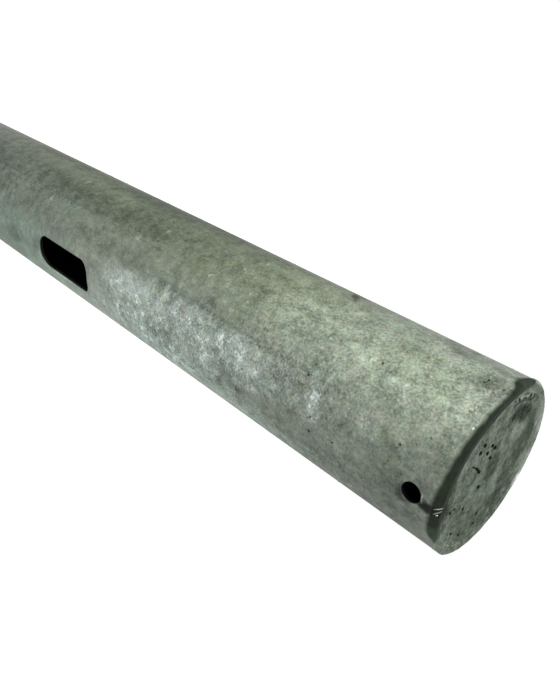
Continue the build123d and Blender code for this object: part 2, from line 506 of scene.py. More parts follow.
# %% The wire's channel
MARK_TURN = 2.0
MARK_HALF_WIDTH = 3.25
MARK_LOW = 2084.875
MARK_FLOOR = TUBE_RADIUS - 0.5


def smooth_step(value, start, stop):
    """0 at start, 1 at stop, and a smooth rise between them."""
    share = min(1.0, max(0.0, (value - start) / (stop - start)))
    return share * share * (3 - 2 * share)


def local_axes(turn):
    """The directions sideways and outwards at a turn."""
    angle = math.radians(turn)
    return Vector((math.cos(angle), -math.sin(angle), 0)), Vector((-math.sin(angle), -math.cos(angle), 0))


def pressed(point):
    """A point in metres, pushed down to the channel's floor where the wire lay."""
    sideways, outward = local_axes(MARK_TURN)
    across = abs(point.dot(sideways)) / MM
    proud = point.dot(outward) / MM - MARK_FLOOR
    share = smooth_step(across, MARK_HALF_WIDTH + 0.35, MARK_HALF_WIDTH - 0.35)
    share *= smooth_step(point.z / MM, MARK_LOW - 0.6, MARK_LOW + 0.6)
    if proud <= 0 or share == 0:
        return point
    return point - outward * proud * share * MM


skin_point = on_post(MARK_TURN, TUBE_RADIUS, 2090)
print("skin in the channel goes in by", round((skin_point - pressed(skin_point)).length / MM, 2))

# %% [markdown]
# An opening is a rounded rectangle in its own flat frame: how far sideways, and how far up from its middle.
# A window's edge points each look for the nearest point of that outline, and rings of points are set
# between them: over the skin, round the rim, which the zinc has rounded to 0.8 mm, through the wall and
# back to the window's edge on the bore.

# %% Rings of an opening


def outline_point(x, up, half_width, half_length, corner, away):
    """The point of the outline nearest to a place, moved out from the opening by so much."""
    inner_x = max(corner - half_width, min(half_width - corner, x))
    inner_up = max(corner - half_length, min(half_length - corner, up))
    reach = (corner + away) / math.hypot(x - inner_x, up - inner_up)
    return inner_x + (x - inner_x) * reach, inner_up + (up - inner_up) * reach


def opening_rings(turn, height, half_width, half_length, corner, outer_edge, inner_edge):
    """The rings between a window's edge outside and its edge inside, each a list of points."""
    sideways, outward = local_axes(turn)

    def flat(point):
        return point.dot(sideways) / MM, point.z / MM - height

    def lifted(x, up, radius, depth=0.0):
        away = math.sqrt(radius**2 - x**2) - depth
        return (sideways * x + outward * away + Vector((0, 0, height + up))) * MM

    made = []
    for share in (0.35, 0.65, 0.85, 1.0):
        ring = []
        for point in outer_edge:
            x, up = flat(point)
            to_x, to_up = outline_point(x, up, half_width, half_length, corner, RIM_RADIUS)
            ring.append(lifted(x + (to_x - x) * share, up + (to_up - up) * share, TUBE_RADIUS))
        made.append(ring)
    for degrees in (22.5, 45, 67.5, 90):
        away = RIM_RADIUS * (1 - math.sin(math.radians(degrees)))
        depth = RIM_RADIUS * (1 - math.cos(math.radians(degrees)))
        ring = []
        for point in outer_edge:
            to_x, to_up = outline_point(*flat(point), half_width, half_length, corner, away)
            ring.append(lifted(to_x, to_up, TUBE_RADIUS, depth))
        made.append(ring)
    for share in (0.0, 0.5):
        ring = []
        for point, inner in zip(outer_edge, inner_edge):
            to_x, to_up = outline_point(*flat(point), half_width, half_length, corner, 0.0)
            x, up = flat(inner)
            ring.append(lifted(to_x + (x - to_x) * share, to_up + (up - to_up) * share, BORE_RADIUS))
        made.append(ring)
    return made


nearest = outline_point(20, 47, *SLOT[2:], 0)
print("nearest outline point to a window's corner:", [round(v, 2) for v in nearest])

# %% [markdown]
# Now the grid is filled in. Points that lie inside a window aren't made. Each window's edge is walked up
# one side, over the top, down and back, which is anticlockwise seen from outside, so that every face points
# outwards.

# %% The tube


def window_edge(window, inside):
    """The grid keys round a window, walked anticlockwise as seen from outside the post."""
    first, last = turn_lines.index(window[0]), turn_lines.index(window[1])
    bottom, top = height_lines.index(window[2]), height_lines.index(window[3])
    if inside:
        bottom, top = len(rings) - bottom, len(rings) - top
    step = 1 if top > bottom else -1
    keys = [(first, row) for row in range(bottom, top, step)]
    keys += [(column, top) for column in range(first, last)]
    keys += [(last, row) for row in range(top, bottom, -step)]
    return keys + [(column, bottom) for column in range(last, first, -1)]


def build_tube():
    """The tube's points and faces."""
    points, faces, index = [], [], {}
    edges = [window_edge(window, inside) for window in (SLOT_WINDOW, VENT_WINDOW) for inside in (False, True)]
    skipped = set()
    for keys in edges:
        columns, rows = zip(*keys)
        for column in range(min(columns), max(columns)):
            skipped.update((column, row) for row in range(min(rows), max(rows)))
    for column, turn in enumerate(turn_lines):
        for row, (radius, height) in enumerate(rings):
            if not {(column - 1, row - 1), (column - 1, row), (column, row - 1), (column, row)} <= skipped:
                index[column, row] = len(points)
                points.append(pressed(on_post(turn, radius, height)))
    for column in range(len(turn_lines)):
        for row in range(len(rings)):
            if (column, row) not in skipped:
                right, above = (column + 1) % len(turn_lines), (row + 1) % len(rings)
                corners = [(column, row), (column, above), (right, above), (right, row)]
                faces.append([index[key] for key in corners])
    for opening, keys, inner_keys in zip((SLOT, VENT), edges[::2], edges[1::2]):
        outer, inner = [index[key] for key in keys], [index[key] for key in inner_keys]
        rows = [outer]
        for ring in opening_rings(*opening, [points[i] for i in outer], [points[i] for i in inner]):
            rows.append(list(range(len(points), len(points) + len(ring))))
            points.extend(pressed(point) for point in ring)
        rows.append(inner)
        for ring, following in zip(rows, rows[1:]):
            for place in range(len(ring)):
                after = (place + 1) % len(ring)
                faces.append([ring[place], ring[after], following[after], following[place]])
    return points, faces


def finish_mesh(piece, sharp=40):
    """Smooth shading but for edges sharper than an angle in degrees, and a printed count of the mesh."""
    mesh = piece.data
    mesh.shade_smooth()
    mesh.set_sharp_from_angle(angle=math.radians(sharp))
    triangles = sum(len(face.vertices) - 2 for face in mesh.polygons)
    seen = {}
    for face in mesh.polygons:
        for key in face.edge_keys:
            seen[key] = seen.get(key, 0) + 1
    loose = sum(1 for count in seen.values() if count != 2)
    print(piece.name, "triangles", triangles, "edges without two faces", loose)


def placed(name, data):
    """An object of that name in the scene, with its mesh, lamp or camera."""
    piece = bpy.data.objects.new(name, data)
    scene.collection.objects.link(piece)
    return piece


def plain_mesh(name, points, faces, material):
    """An object with a mesh of its own."""
    mesh = bpy.data.meshes.new(name)
    mesh.from_pydata(points, [], faces)
    mesh.materials.append(material)
    piece = placed(name, mesh)
    finish_mesh(piece)
    return piece


tube = plain_mesh("tube_skin", *build_tube(), tube_zinc)

# %% [markdown]
# The plate is flat steel, but zinc doesn't drain evenly from a flat top. It keeps a low flow ridge on one
# side, shallow pits where gas came out and one curved scratch. Its mesh is a polar grid, fine enough to
# hold these as real relief of a few tenths of a millimetre. The same marks darken or lighten the finish, so
# that relief and colour stay together, and the dark in the pits is painted shade. All are given by their X
# and Y in mm.

# %% The plate's marks
PITS = [
    (-15.2, -10.2), (-21.6, -15.7), (-27.2, -25.3), (-30.7, -22.0), (-21.2, -7.7), (4.1, -14.5),
    (-25.0, -12.0),
]
SCRATCH = [(-19.6, -29.8), (-17.8, -27.4), (-15.8, -24.9), (-13.6, -22.6), (-11.6, -20.8), (-9.8, -19.3)]
FLOW = [(-49.5, -3.0), (-47.8, 5.4), (-46.0, 14.2), (-42.4, 25.9), (-38.4, 36.6)]
PIT_DEPTH = 0.35


def nearness(x, y, line, reach):
    """1 on a line of points, falling to 0 at a distance in mm."""
    best = math.inf
    for (ax, ay), (bx, by) in zip(line, line[1:]):
        dx, dy = bx - ax, by - ay
        share = max(0.0, min(1.0, ((x - ax) * dx + (y - ay) * dy) / (dx * dx + dy * dy)))
        best = min(best, math.hypot(x - ax - dx * share, y - ay - dy * share))
    return 1 - smooth_step(best, 0.0, reach)


def plate_relief(x, y):
    """How far the zinc stands above or below the plate's face, in mm. It is level where the weld begins."""
    relief = 0.3 * nearness(x, y, FLOW, 4.0) - PIT_DEPTH * nearness(x, y, SCRATCH, 1.4)
    for pit_x, pit_y in PITS:
        relief -= PIT_DEPTH * (1 - smooth_step(math.hypot(x - pit_x, y - pit_y), 0.3, 1.5))
    relief += 0.05 * math.sin(x * 0.21 + 1.3) * math.sin(y * 0.17 - 0.4)
    return relief * (1 - smooth_step(math.hypot(x, y), 47.5, 50.2))


print("deepest relief at a pit, mm:", round(plate_relief(*PITS[0]), 2))

# %% [markdown]
# The plate's finish is the same zinc, duller, as it weathered flat, and painted darker than the tube's:
# painted shade for a top face that takes less light than the side of the tube. A large cloudy dark region
# covers one half of it, with a light streak and a lighter patch left inside, and the other half is mid grey
# with small dark grains. The large marks are ovals in the plate's own X and Y. Those near the rim follow
# it, so they are ovals in the turn and the radius. Pits, grains and the scratch are drawn out along the
# direction that the plate was rolled in, and lie in a frame that is turned by it. The pits are dark with
# painted shade.

# %% The plate's finish
PLATE_TONES = [
    (14, 27, 37, 20, -0.14, -12), (36, 4, 17, 24, -0.10), (-5, -4, 12, 10, -0.24),
    (-33, 17, 8, 19, -0.31, -24), (-34, 4, 7, 5, -0.12), (-18.5, 20, 9, 15, 0.13, -24),
    (-12, 38, 19, 6, -0.19, 16), (-8, 29, 12, 6, -0.11), (18, 39, 13, 9, 0.17, -25),
    (37, -20, 10, 8, -0.10), (0, -33, 7, 8, -0.09), (15, 6, 13, 6.5, 0.09, 24),
    (-45.5, 16, 2.4, 22, 0.17, -12), (-42.6, 15, 1.5, 20, -0.20, -12), (-8, -49, 40, 7, -0.16),
    (20, -28, 20, 14, -0.06, 30),
]
# A turn, a radius, the reach along the rim and across it, and what is added.
RIM_TONES = skin_marks(
    (-156, 55, 28, 7, 0.20), (-142, 55, 10, 7, 0.44), (-132, 55.5, 6, 3.5, 0.30), (171, 54, 30, 4, 0.20),
    (160, 48, 14, 4, 0.14), (108, 50.3, 6, 2.4, -0.36), (120, 46, 6, 2.5, -0.06), (131, 50, 8, 6, -0.16),
    (-50, 51.4, 20, 1.6, -0.08), (-108, 49, 12, 8, -0.13),
)
ROLLED = math.radians(50)


def rolled_spot(x, y, along, across, amount):
    """A spot drawn out along the direction that the plate was rolled in."""
    turned_x = x * math.cos(ROLLED) + y * math.sin(ROLLED)
    turned_y = y * math.cos(ROLLED) - x * math.sin(ROLLED)
    return (turned_x, turned_y, along, across, amount)


PLATE_SPOTS_AND_PIT_SHADE = [rolled_spot(x, y, 2.1, 0.5 + 0.17 * step, -1.0) for step, (x, y) in enumerate(SCRATCH)]
# Painted shade in the pits: each pit is darkened.
PLATE_SPOTS_AND_PIT_SHADE += [rolled_spot(x, y, 3.0, 1.5, -0.75) for x, y in PITS]
FLOW_HOLES = [
    (-48.6, 1.5, 0.6), (-47.6, 6.2, 1.0), (-46.2, 11.8, 0.6), (-45.2, 14.4, 0.9), (-43.8, 21.4, 1.0),
    (-44.8, 25.2, 0.6), (-41.6, 27.0, 0.8),
]
DARK_GRAINS = [
    (13.3, -27.3), (31.5, -5.7), (39.3, -6.4), (5.5, -38.7), (6.0, -42.6), (37.0, -23.4), (28.3, -34.0),
]
PLATE_SPOTS_AND_PIT_SHADE += [rolled_spot(x, y, 2.6 * size, 1.4 * size, -0.5 * size) for x, y, size in FLOW_HOLES]
PLATE_SPOTS_AND_PIT_SHADE += [rolled_spot(x, y, 2.4, 1.3, -0.42) for x, y in DARK_GRAINS]
PLATE_GRAINS = [(6, -30, 46, 30, 0.7), (-44, 14, 6, 16, 1.0, -8), (30, 38, 24, 8, 1.0, -45)]
# The plate's colours and base tone are darker than the tube's: painted shade for its top face.
PLATE_COLOURS_WITH_PAINTED_SHADE = ["10150E", "384234", "6B7369", "949B93", "CBD1CA"]
PLATE_TONE_WITH_PAINTED_SHADE = 0.355


def plate_look(tree, place, skin, pick=list):
    """The plate's colour, relief and tone, darker with painted shade, with the marks that pick lets through.
    """
    ragged = wander(tree, place, place, 10, 4)
    nicked = wander(tree, place, place, 3, 0.8)
    tone = ovals(tree, ragged, pick(PLATE_TONES), PLATE_TONE_WITH_PAINTED_SHADE, 0.45)
    way, _, radius = add(tree, "SeparateXYZ", (skin,)).node.outputs
    rim = add(tree, "CombineXYZ", (way, radius))
    tone = ovals(tree, wander(tree, rim, place, 4, 1.0), RIM_TONES, tone)
    rolled = add(tree, "Mapping", {"Vector": nicked, "Rotation": (0, 0, -ROLLED)})
    tone = ovals(tree, rolled, pick(PLATE_SPOTS_AND_PIT_SHADE), tone, 0.45)
    fine = clouds(tree, place, 9, 3.0, 0.8, 0.75, 0.0)
    fine = crystals(tree, nicked, 2.4, 0.08, fine)
    fine = clouds(tree, place, 1.6, 2.0, 0.6, 0.48, fine)
    grains = specks(tree, place, 3.2, 0.6, 12, 0.46)
    where = ovals(tree, ragged, pick(PLATE_GRAINS), 0.3)
    share = add(tree, "Math", (grains, where), operation="MULTIPLY")
    tone = add(tree, "Math", (tone, fine), operation="ADD")
    tone = add(tree, "Math", (share, -0.22, tone), operation="MULTIPLY_ADD")
    relief = add(tree, "Math", (share, -0.5, fine), operation="MULTIPLY_ADD")
    return drifted(tree, zinc_shades(tree, tone, PLATE_COLOURS_WITH_PAINTED_SHADE), place, 0.22), relief, tone


def plate_zinc():
    """Dull weathered zinc on flat plate, cloudy and matt. Its pits and its scratch hold no gleam at all."""
    material, tree, shader = new_finish("plate_zinc")
    place, skin = post_map(tree)
    colour, relief, tone = plate_look(tree, place, skin)
    colour, band = dark_zinc_and_shade_banded(tree, colour, place, skin)
    dressed(tree, shader, colour, relief, 0.6, 0.7)
    gleam = add(tree, "MapRange", (tone, -0.15, 0.12, 0.0, DULL_SPECULAR))
    tree.links.new(gleam, shader.inputs["Specular IOR Level"])
    shader.inputs["Roughness"].default_value = 0.85
    dulled(tree, band, 0.2, BURNT_METALLIC, shader.inputs["Metallic"])
    return material


cap_zinc = plate_zinc()
print("nodes in the plate's finish:", len(cap_zinc.node_tree.nodes))

# %% The plate
RING_PITCH = 0.8
SECTORS = 300


def build_plate():
    """The plate's top in rings from its middle, its edge and its underside."""
    radii = [RING_PITCH * step for step in range(1, int(CAP_RADIUS / RING_PITCH) + 1)]
    radii = [r for r in radii if r < CAP_RADIUS - 0.3] + [CAP_RADIUS]
    points = [Vector((0, 0, POST_HEIGHT + plate_relief(0, 0))) * MM]
    faces = []

    def ring(radius, height):
        first = len(points)
        for sector in range(SECTORS):
            angle = 2 * math.pi * sector / SECTORS
            x, y = radius * math.cos(angle), radius * math.sin(angle)
            lift = plate_relief(x, y) if height is None else 0.0
            points.append(Vector((x, y, (POST_HEIGHT if height is None else height) + lift)) * MM)
        return first

    starts = [ring(radius, None) for radius in radii] + [ring(CAP_RADIUS, SEAT_HEIGHT)]
    for sector in range(SECTORS):
        after = (sector + 1) % SECTORS
        faces.append([0, starts[0] + sector, starts[0] + after])
        for inner, outer in zip(starts, starts[1:]):
            faces.append([inner + sector, outer + sector, outer + after, inner + after])
    middle = len(points)
    points.append(Vector((0, 0, SEAT_HEIGHT)) * MM)
    for sector in range(SECTORS):
        faces.append([middle, starts[-1] + (sector + 1) % SECTORS, starts[-1] + sector])
    return points, faces


plate = plain_mesh("end_plate", *build_plate(), cap_zinc)

# %% [markdown]
# The weld is a bead of one section led round the end of the tube, so its shape follows a rule and Geometry
# Nodes can sweep it. The real bead was dressed by hand: ground flat beside the vent hole and again on the
# far side, square at the bottom of the picture and left round elsewhere. So the section is a small mesh of
# points joined by edges, and each point carries attributes: the step that would square it, the step that
# would flatten it, and how far a grinder could reach it, which is 0 on the faces that sit on tube and
# plate. Nothing opens a gap there.

# %% The bead's section


def arc_through(start, middle, end, steps):
    """Points of the arc through three points, without its last one."""
    (ax, ay), (bx, by), (cx, cy) = start, middle, end
    d = 2 * (ax * (by - cy) + bx * (cy - ay) + cx * (ay - by))
    ux = ((ax**2 + ay**2) * (by - cy) + (bx**2 + by**2) * (cy - ay) + (cx**2 + cy**2) * (ay - by)) / d
    uy = ((ax**2 + ay**2) * (cx - bx) + (bx**2 + by**2) * (ax - cx) + (cx**2 + cy**2) * (bx - ax)) / d
    first = math.atan2(ay - uy, ax - ux)
    sweep = (math.atan2(cy - uy, cx - ux) - first + math.pi) % (2 * math.pi) - math.pi
    reach = math.hypot(ax - ux, ay - uy)
    angles = [first + sweep * step / steps for step in range(steps)]
    return [(ux + reach * math.cos(angle), uy + reach * math.sin(angle)) for angle in angles]


ROUND_STEPS = 14
SLOPE_STEPS = 8
TUBE_TOE = (TUBE_RADIUS, BEVEL_HEIGHT)
SHOULDER = (TUBE_RADIUS + 0.5, SEAT_HEIGHT)
CREST = (TUBE_RADIUS - 2.6, POST_HEIGHT + 0.3)
SLOPE = (CREST[0] - 2.0, POST_HEIGHT + 0.1)
CAP_TOE = (CREST[0] - 4.0, POST_HEIGHT)
outer_line = arc_through(TUBE_TOE, SHOULDER, CREST, ROUND_STEPS)
outer_line += arc_through(CREST, SLOPE, CAP_TOE, SLOPE_STEPS) + [CAP_TOE]
seat_line = [(CAP_RADIUS, POST_HEIGHT), (CAP_RADIUS, SEAT_HEIGHT), (TUBE_RADIUS - TUBE_BEVEL, SEAT_HEIGHT)]
SQUARE_LINE = [(0.0, TUBE_TOE), (0.58, (57.3, 2099.9)), (0.66, (57.0, 2100.25)), (1.0, CREST)]
FLAT_LINE = [(0.0, TUBE_TOE), (1.0, CREST)]


def along(line, share):
    """The point at a share of a line, whose points each have a share."""
    for (first, start), (last, end) in zip(line, line[1:]):
        if share <= last:
            part = (share - first) / (last - first)
            return start[0] + (end[0] - start[0]) * part, start[1] + (end[1] - start[1]) * part


def steps_to(line):
    """For each point of the round part, the step in mm, outwards and up, to another line. 0 for the rest."""
    steps = [(0.0, 0.0)] * (len(outer_line) + len(seat_line))
    for number in range(ROUND_STEPS + 1):
        radius, height = outer_line[number]
        to_radius, to_height = along(line, number / ROUND_STEPS)
        steps[number] = (to_radius - radius, to_height - height)
    return steps


square_steps, flat_steps = steps_to(SQUARE_LINE), steps_to(FLAT_LINE)


def line_object(name, points, edges):
    """An object made of points and the edges between them, for a tree to sweep along or with."""
    mesh = bpy.data.meshes.new(name)
    mesh.from_pydata(points, edges, [])
    return placed(name, mesh)


def section_object():
    """The bead's closed section in the XY plane, with its steps and a grinder's reach."""
    line = outer_line + seat_line
    points = [((radius - TUBE_RADIUS) * MM, (BEVEL_HEIGHT - height) * MM, 0) for radius, height in line]
    piece = line_object("bead_section", points, [(i, (i + 1) % len(line)) for i in range(len(line))])
    reach = piece.data.attributes.new("ground", "FLOAT", "POINT")
    for number in range(1, len(outer_line) - 1):
        reach.data[number].value = 1.0 if number <= ROUND_STEPS else 0.2
    for title, steps in (("square", square_steps), ("flat", flat_steps)):
        kept = piece.data.attributes.new(title, "FLOAT_VECTOR", "POINT")
        for number, (outwards, upwards) in enumerate(steps):
            kept.data[number].vector = (outwards * MM, upwards * MM, 0)
    return piece


print("points in the section:", len(outer_line) + len(seat_line))
print("largest step to flat, mm:", round(max(math.hypot(*step) for step in flat_steps), 2))

# %% [markdown]
# A Geometry Nodes tree is built once and then run with its inputs set. One function runs a tree on an
# object of its own and keeps the result as a plain mesh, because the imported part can't hold a live
# modifier.

# %% Running a tree


def new_tree(name, inputs):
    """A node tree with named inputs, each with its value. None stands for an object, which is given later."""
    tree = bpy.data.node_groups.new(name, "GeometryNodeTree")
    kinds = {float: "NodeSocketFloat", int: "NodeSocketInt", type(None): "NodeSocketObject"}
    for title, value in inputs.items():
        socket = tree.interface.new_socket(name=title, in_out="INPUT", socket_type=kinds[type(value)])
        if value is not None:
            socket.default_value = value
    tree.interface.new_socket(name="Geometry", in_out="OUTPUT", socket_type="NodeSocketGeometry")
    return tree, add(tree, "NodeGroupInput").node.outputs


def end_tree(tree, geometry, material):
    """Ends a tree: instances made real, the finish set and the result put out."""
    real = add(tree, "GeometryNodeRealizeInstances", {"Geometry": geometry})
    done = add(tree, "GeometryNodeSetMaterial", {"Geometry": real, "Material": material})
    add(tree, "NodeGroupOutput", {"Geometry": done})


def grown(name, tree, values):
    """Runs a tree on an empty object and returns the object with the result as its own mesh."""
    piece = placed(name, bpy.data.meshes.new(name))
    modifier = piece.modifiers.new(name, "NODES")
    modifier.node_group = tree
    for item in tree.interface.items_tree:
        if item.in_out == "INPUT" and item.name in values:
            modifier[item.identifier] = values[item.name]
    result = bpy.data.meshes.new_from_object(piece.evaluated_get(bpy.context.evaluated_depsgraph_get()))
    piece.modifiers.clear()
    piece.data = result
    result.name = name
    return piece


print("the bead, the wire's ridges and the dross grains are grown from trees")

# %% [markdown]
# The weld wears three finishes: the tube's zinc laps over it on one side, the plate's on the other, and the
# dark band lies over both. So its material mixes the first two by height and then lays the band on. Of the
# tube's and the plate's marks it takes only those that reach this far, because a renderer holds only so
# many values of one finish at a time.

# %% The weld's finish


def at_the_end(marks):
    """The tube's marks that reach the weld."""
    return [mark for mark in marks if mark[1] - mark[3] < 6]


def at_the_rim(marks):
    """The plate's marks that reach the weld."""
    return [mark for mark in marks if math.hypot(mark[0], mark[1]) + max(mark[2:4]) > 50]


# Below the plate's level, in mm: where the tube's zinc begins to give way to the plate's, and where it has.
LAP_START = 0.12
LAP_END = -0.06


def ground_weld_zinc():
    """Thin zinc on a ground weld: like its neighbours at the edges, between them burnt dull and dark, with
    painted shade.
    """
    material, tree, shader = new_finish("ground_weld_zinc")
    place, skin = post_map(tree)
    face = plate_look(tree, place, skin, at_the_rim)[0]
    tone, relief, ragged, white = zinc_tone(tree, place, skin, at_the_end)
    colour = zinc_colour(tree, tone, ragged, white, place, at_the_end)
    below = clouds(tree, place, 4, 2.0, 0.6, 0.5, add(tree, "SeparateXYZ", (skin,), "Y"))
    topped = add(tree, "MapRange", (below, LAP_START, LAP_END))
    colour = add(tree, "Mix", {0: topped, 6: colour, 7: face}, 2, data_type="RGBA")
    colour, band = dark_zinc_and_shade_banded(tree, colour, place, skin)
    dressed(tree, shader, colour, relief, 0.5, 0.5)
    dulled(tree, band, 0.3, BURNT_METALLIC, shader.inputs["Metallic"])
    dulled(tree, band, 0.7, BURNT_ROUGHNESS, shader.inputs["Roughness"])
    return material


weld_zinc = ground_weld_zinc()
print("nodes in the weld's finish:", len(weld_zinc.node_tree.nodes))

# %% [markdown]
# The bead's tree: a circle of the tube's radius at the bevel's height, the section turned into a curve, and
# Curve to Mesh between them. The section's attributes come through, so Set Position can add the steps to
# square and to flat, each weighted by the turn round the post, and then push the outside of the bead along
# its normal by a noise of about 9 mm, as a hand grinder leaves it.

# %% The bead
SQUARE_BY_TURN = [
    (-180, 0.3), (-144, 0.1), (-130, 0.2), (-116, 0.7), (-104, 0.7), (-84, 0.6), (-62, 0.6), (-48, 1.0),
    (-28, 1.0), (-16, 0.0), (160, 0.0), (180, 0.3),
]
BESIDE_VENT = 0.85
FLAT_BY_TURN = [
    (-180, 0.0), (-26, 0.0), (-14, BESIDE_VENT), (30, BESIDE_VENT), (56, 0.5), (80, 0.1), (100, 0.0),
    (122, 0.1), (132, 0.25), (144, 0.5), (158, 0.6), (172, 0.3), (180, 0.0),
]
SURFACE_LEVEL = 0.56


def bead_tree():
    """Sweeps the section round the post and dresses it by hand."""
    tree, given = new_tree("bead_round_end", {
        "Section": None, "Radius": TUBE_RADIUS * MM, "Height": BEVEL_HEIGHT * MM, "Segments": 720,
        "Unevenness": 0.5 * MM, "Wave": 9 * MM,
    })
    circle = add(
        tree, "GeometryNodeCurvePrimitiveCircle", {"Resolution": given["Segments"], "Radius": given["Radius"]}
    )
    section = add(tree, "GeometryNodeObjectInfo", {"Object": given["Section"]}, "Geometry")
    line = add(tree, "GeometryNodeMeshToCurve", {"Mesh": section})
    swept = add(tree, "GeometryNodeCurveToMesh", {"Curve": circle, "Profile Curve": line})
    lift = add(tree, "CombineXYZ", {"Z": given["Height"]})
    raised = add(tree, "GeometryNodeTransform", {"Geometry": swept, "Translation": lift})
    position = add(tree, "GeometryNodeInputPosition")
    x, y, z = add(tree, "SeparateXYZ", (position,)).node.outputs
    way = way_round(tree, x, y)
    moves = []
    for title, shares in (("square", SQUARE_BY_TURN), ("flat", FLAT_BY_TURN)):
        kept = add(tree, "GeometryNodeInputNamedAttribute", {"Name": title}, data_type="FLOAT_VECTOR")
        inputs = {0: kept, "Scale": by_turn(tree, way, shares)}
        moves.append(add(tree, "VectorMath", inputs, operation="SCALE"))
    step = add(tree, "VectorMath", moves, operation="ADD")
    outwards, upwards, _ = add(tree, "SeparateXYZ", (step,)).node.outputs
    level = add(tree, "VectorMath", (position, (1, 1, 0)), operation="MULTIPLY")
    outward = add(tree, "VectorMath", (level,), operation="NORMALIZE")
    sideways = add(tree, "VectorMath", {0: outward, "Scale": outwards}, operation="SCALE")
    move = add(tree, "VectorMath", (sideways, add(tree, "CombineXYZ", {"Z": upwards})), operation="ADD")
    shaped = add(tree, "GeometryNodeSetPosition", {"Geometry": raised, "Offset": move})
    finer = add(tree, "Math", (1.0, given["Wave"]), operation="DIVIDE")
    noise = add(tree, "TexNoise", {"Vector": position, "Scale": finer, "Detail": 2.0, "Roughness": 0.6})
    swing = add(tree, "Math", (noise, SURFACE_LEVEL), operation="SUBTRACT")
    reach = add(tree, "GeometryNodeInputNamedAttribute", {"Name": "ground"}, data_type="FLOAT")
    share = add(tree, "Math", (swing, reach), operation="MULTIPLY")
    depth = add(tree, "Math", (share, given["Unevenness"]), operation="MULTIPLY")
    normal = add(tree, "GeometryNodeInputNormal")
    push = add(tree, "VectorMath", {0: normal, "Scale": depth}, operation="SCALE")
    dressed_bead = add(tree, "GeometryNodeSetPosition", {"Geometry": shaped, "Offset": push})
    end_tree(tree, dressed_bead, weld_zinc)
    return tree


section = section_object()
bead = grown("weld_bead", bead_tree(), {"Section": section})
bpy.data.objects.remove(section)
for vertex in bead.data.vertices:
    vertex.co = pressed(vertex.co)
finish_mesh(bead, 50)
corners = [[bead.data.vertices[i].co for i in face.vertices[:3]] for face in bead.data.polygons]
volume = sum(a.dot((b - a).cross(c - a)) for a, b, c in corners)
print("bead's normals point", "outwards" if volume > 0 else "inwards")

# %% [markdown]
# Where the wire crossed the weld it left three small bright ridges of zinc, side by side, that run over the
# flattened bead at a slant. Each is a thin rod that follows the bead's own outer line, most of it sunk in
# the bead. A tree turns their lines of points into curves and sweeps a small circle along them, thinner
# towards its ends.

# %% The wire's ridges
# Each ridge's turn at its ends, and the outer line's points it follows: from one up to, but without, another.
RIDGES = [(3.9, 6.2, 3, 16), (0.6, 4.0, 4, 15), (0.0, 0.8, 7, 12)]
# How far under the bead's surface a ridge's middle line lies, in mm.
RIDGE_SINK_IN = 0.10
RIDGE_SINK_DOWN = 0.05


def bright_zinc():
    """Zinc that the wire kept clean: more metal and less oxide, so it catches a soft line of light."""
    material, tree, shader = new_finish("bright_zinc")
    tone = clouds(tree, post_map(tree)[0], 1.5, 2.0, 0.6, 1.2, 0.55)
    tree.links.new(zinc_shades(tree, tone, ["3E463C", "7E877C", "BCC3B8"]), shader.inputs["Base Color"])
    shader.inputs["Metallic"].default_value = 0.8
    shader.inputs["Roughness"].default_value = 0.4
    return material


wire_zinc = bright_zinc()


def ridge_points(turn, last_turn, first, last):
    """The points of one ridge, on the flattened bead's outer line and just under its surface."""
    points = []
    for number in range(first, last):
        radius = outer_line[number][0] + flat_steps[number][0] * BESIDE_VENT - RIDGE_SINK_IN
        height = outer_line[number][1] + flat_steps[number][1] * BESIDE_VENT - RIDGE_SINK_DOWN
        share = (number - first) / (last - 1 - first)
        points.append(pressed(on_post(turn + (last_turn - turn) * share, radius, height)))
    return points


def ridge_tree():
    """Sweeps a small circle along each line of points, thinner at its ends."""
    tree, given = new_tree("wire_ridges", {"Lines": None, "Thickness": 0.52 * MM})
    lines = add(tree, "GeometryNodeObjectInfo", {"Object": given["Lines"]}, "Geometry")
    curves = add(tree, "GeometryNodeMeshToCurve", {"Mesh": lines})
    arch = add(tree, "Math", (add(tree, "GeometryNodeSplineParameter"), math.pi), operation="MULTIPLY")
    swell = add(tree, "Math", (arch,), operation="SINE")
    width = add(tree, "Math", (swell, 0.75, 0.25), operation="MULTIPLY_ADD")
    shaped = add(tree, "GeometryNodeSetCurveRadius", {"Curve": curves, "Radius": width})
    ring = add(tree, "GeometryNodeCurvePrimitiveCircle", {"Resolution": 8, "Radius": given["Thickness"]})
    inputs = {"Curve": shaped, "Profile Curve": ring, "Scale": width, "Fill Caps": True}
    end_tree(tree, add(tree, "GeometryNodeCurveToMesh", inputs), wire_zinc)
    return tree


def ridge_lines():
    """The ridges' lines as one object."""
    points, edges = [], []
    for ridge in RIDGES:
        line = ridge_points(*ridge)
        edges += [(len(points) + i, len(points) + i + 1) for i in range(len(line) - 1)]
        points += line
    return line_object("ridge_lines", points, edges)


lines = ridge_lines()
ridges = grown("wire_ridges", ridge_tree(), {"Lines": lines})
bpy.data.objects.remove(lines)
finish_mesh(ridges, 60)

# %% [markdown]
# Dross leaves hard grains in the zinc, small domes up to a millimetre and a half across. They are strewn
# over the tube's outside by Distribute Points on Faces, in clusters that a noise picks, never on the rims
# or in the bore. Each grain is a low-poly ball, flattened and sunk to its middle in the skin.

# %% The dross grains
# Where no grain may lie: a turn, a height, and a half width and half length in mm.
NO_GRAINS = ((0, 1707, 17.5, 43.5), (4.7, 2081.7, 9, 9), (2, 2092, 7, 12))
NO_GRAINS_MARGIN = 1.25
CLUSTER_LEVEL = 0.53
LOWEST_GRAIN = 6 * MM


